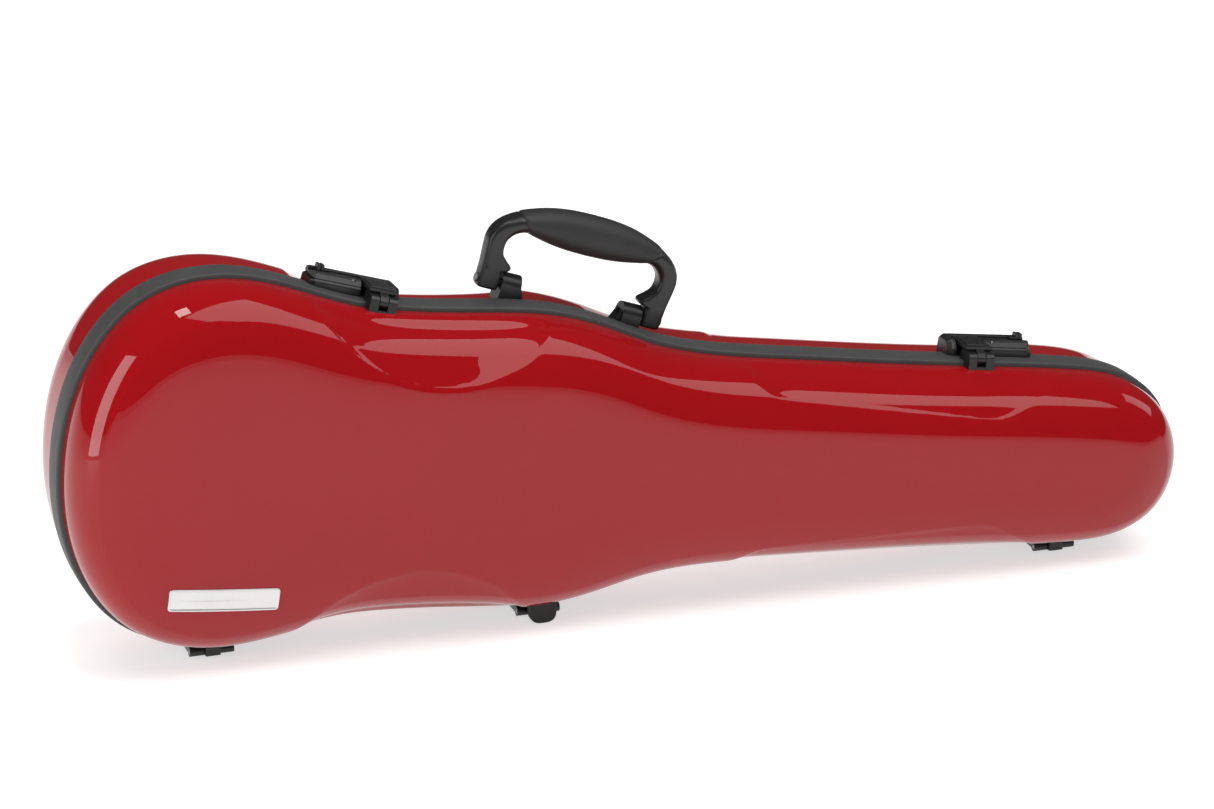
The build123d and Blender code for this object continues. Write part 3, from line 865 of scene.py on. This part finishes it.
def pile_wave(place):
    """Gentle unevenness of the padding at each point, about -1.6 to 1.6."""
    broad = np.sin(place[:, 0] * 310) * np.sin(place[:, 2] * 270 + 1.3)
    return broad + 0.6 * np.sin(place.sum(1) * 520)


def soft_copy(name, node, body, voxel, rounds, swell, pile=0.25, skin=None, inside_point=None):
    """A CAD soft solid remeshed, softened, moved out by swell and made a little uneven."""
    source = frame["nodes"][node]
    piece = bpy.data.objects.new(name, source.data.copy())
    piece.matrix_world = source.matrix_world.copy()
    bpy.context.scene.collection.objects.link(piece)
    piece.modifiers.clear()
    remesh = piece.modifiers.new("even mesh", "REMESH")
    remesh.mode = "VOXEL"
    remesh.voxel_size = voxel * MM
    soften = piece.modifiers.new("soft edges", "SMOOTH")
    soften.factor = 0.5
    soften.iterations = rounds
    evaluated = piece.evaluated_get(bpy.context.evaluated_depsgraph_get())
    mesh = bpy.data.meshes.new_from_object(evaluated)
    piece.modifiers.clear()
    piece.data = mesh
    place = np.empty(len(mesh.vertices) * 3)
    normal = np.empty(len(mesh.vertices) * 3)
    mesh.vertices.foreach_get("co", place)
    mesh.vertices.foreach_get("normal", normal)
    place = place.reshape(-1, 3)
    normal = normal.reshape(-1, 3)
    place += normal * (swell + pile * pile_wave(place)[:, None]) * MM
    if skin:
        place = behind_skin(place, skin, inside_point, (WALL + 0.2) * MM)
    mesh.vertices.foreach_set("co", place.ravel())
    mesh.polygons.foreach_set("use_smooth", [True] * len(mesh.polygons))
    mesh.materials.clear()
    mesh.materials.append(PLUSH)
    mesh.update()
    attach(piece, body)
    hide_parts(node)


def make_linings(lid_skin, base_skin):
    soft_copy("base_padding", "base_lining", "base", 3.0, 5, -0.1, skin=base_skin,
              inside_point=(0.0, 40.0, 0.0))
    soft_copy("lid_padding", "lid_lining", "lid", 2.6, 3, -0.1, pile=0.15, skin=lid_skin,
              inside_point=(0.0, -35.0, 0.0))
    for place in ("lower", "upper"):
        soft_copy(f"body_cushion_{place}", f"suspension_pad_{place}", "base", 2.0, 14, 0.8)
    soft_copy("neck_cradle_pad", "neck_cradle", "base", 1.8, 8, 0.3)
    soft_copy("bow_rest_pad", "bow_rest", "lid", 1.5, 5, 0.1)
    soft_copy("bow_tip_pocket", "bow_tip_sleeve", "lid", 1.5, 4, 0.0)


def strap_ring(z):
    """One ring of the neck strap: stitched along both edges, its corners rounded."""
    past = max(0.0, abs(z) - (STRAP_HALF[1] - STRAP_CORNER))
    half = STRAP_HALF[0] - STRAP_CORNER + math.sqrt(max(0.0, STRAP_CORNER ** 2 - past ** 2))
    angle = np.linspace(0, 2 * math.pi, STRAP_AROUND, endpoint=False)
    across = half * rounded_power(np.cos(angle), 0.35)
    thick = STRAP_THICK / 2 * rounded_power(np.sin(angle), 0.55)
    seam = np.exp(-((np.abs(across) - half + SEAM_INSET) / SEAM_WIDTH) ** 2)
    tack = sum(math.exp(-((abs(z) - at) / TACK_WIDTH) ** 2) for at in TACKS)
    stitch = 0.6 + 0.4 * math.sin(2 * math.pi * z / STITCH)
    thick *= 1 - 0.45 * np.clip(seam * stitch + tack, 0, 1)
    bow = STRAP_BOW * (1 - (z / STRAP_HALF[1]) ** 2) ** 2
    return np.column_stack([STRAP_X + across, STRAP_Y - bow + thick, np.full(STRAP_AROUND, z)])


def make_neck_strap():
    """The band over the instrument's neck, sewn down at both ends and a little slack between."""
    end = STRAP_HALF[1] - 0.05
    rings = np.array([strap_ring(z) for z in np.linspace(-end, end, 201)])
    faces = capped_faces(len(rings), STRAP_AROUND)
    piece = new_mesh("neck_strap_band", to_row(rings).reshape(-1, 3), faces, "base", STRAP)
    merge_close(piece, 0.0)
    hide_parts("neck_strap")


# ---------------------------------------------------------------- studio
def make_floor():
    m = Nodes("studio_floor")
    m.set(Roughness=0.7, Specular_IOR_Level=0.2, Emission_Color=grey(1.0), Emission_Strength=0.60)
    m.link(m.ramp(m.noise(0.5, 1.0), grey(0.60), grey(0.62)), m.shader.inputs["Base Color"])
    mesh = bpy.data.meshes.new("studio_floor")
    size = 14.0
    low = -0.1 * MM
    mesh.from_pydata([(-size, -size, low), (size, -size, low), (size, size, low), (-size, size, low)], [],
                     [(0, 1, 2, 3)])
    floor = bpy.data.objects.new("studio_floor", mesh)
    bpy.context.scene.collection.objects.link(floor)
    mesh.materials.append(m.material)


def area_light(name, place, target, size, power, reflected):
    """A softbox. A fill that isn't reflected lights surfaces but leaves no highlight on the gloss."""
    light = bpy.data.lights.new(name, "AREA")
    light.shape = "RECTANGLE"
    light.size, light.size_y = size
    light.energy = power
    lamp = bpy.data.objects.new(name, light)
    lamp.visible_glossy = reflected
    lamp.location = place
    aim = Vector(target) - Vector(place)
    lamp.rotation_euler = aim.to_track_quat("-Z", "Y").to_euler()
    bpy.context.scene.collection.objects.link(lamp)


def make_lights():
    world = bpy.data.worlds.new("studio")
    world.use_nodes = True
    world.node_tree.nodes["Background"].inputs["Color"].default_value = (1, 1, 1, 1)
    world.node_tree.nodes["Background"].inputs["Strength"].default_value = 0.06
    scene = bpy.context.scene
    scene.world = world
    scene.view_settings.view_transform = "Standard"
    area_light("fill_top", (0.0, -0.4, 2.4), (0, 0, 0.0), (3.6, 2.6), 40, False)
    area_light("fill_front", (-0.6, -3.2, 1.1), (0, 0, 0.12), (3.2, 1.8), 25, False)
    area_light("fill_back", (0.3, 2.6, 2.0), (0, 0.6, 0.0), (3.0, 1.4), 40, False)
    area_light("softbox_high", (0.55, -0.7, 1.9), (0, 0, 0.15), (1.7, 1.9), 25, True)
    area_light("softbox_small", (-0.52, -0.02, 1.6), (-0.2, 0, 0.2), (0.42, 0.2), 3.0, True)
    area_light("softbox_left", (-1.5, -0.3, 0.52), (-0.3, 0, 0.3), (0.5, 1.0), 8.0, True)
    area_light("softbox_right", (2.3, 0.2, 1.3), (0, 0, 0.1), (0.7, 0.9), 4, True)


def make_camera():
    yaw, lift = math.radians(19.02), math.radians(18.76)
    distance = 3.06
    away = Vector((-math.sin(yaw) * math.cos(lift), -math.cos(yaw) * math.cos(lift), math.sin(lift)))
    aim = Vector((-0.0168, -0.0134, 0.1414))
    data = bpy.data.cameras.new("camera")
    data.lens = 134.8
    data.sensor_width = 36.0
    camera = bpy.data.objects.new("camera", data)
    camera.location = aim + away * distance
    camera.rotation_euler = (-away).to_track_quat("-Z", "Y").to_euler()
    bpy.context.scene.collection.objects.link(camera)
    bpy.context.scene.camera = camera


def make_case():
    dress_cad_nodes()
    lid_skin = make_shell("lid_shell_skin", "lid_shell", "lid", LACQUER, rim_y=LID_RIM_Y, flat_y=-17.0,
                          front_y=-60.0, round_width=44.0, crown=3.0, band=8.0)
    base_skin = make_shell("base_shell_skin", "base_shell", "base", LACQUER, rim_y=BASE_RIM_Y, flat_y=36.0,
                           front_y=88.0, round_width=48.0, crown=2.0, band=24.0)
    make_valance(RIM)
    make_handle()
    make_name_plate(lid_skin)
    make_hinge_leaves(lid_skin)
    make_middle_foot(lid_skin)
    make_lid_rivets(lid_skin)
    for side in LATCHES:
        make_latch(side)
    make_linings(lid_skin, base_skin)
    make_neck_strap()


make_floor()
make_lights()
make_camera()
make_case()
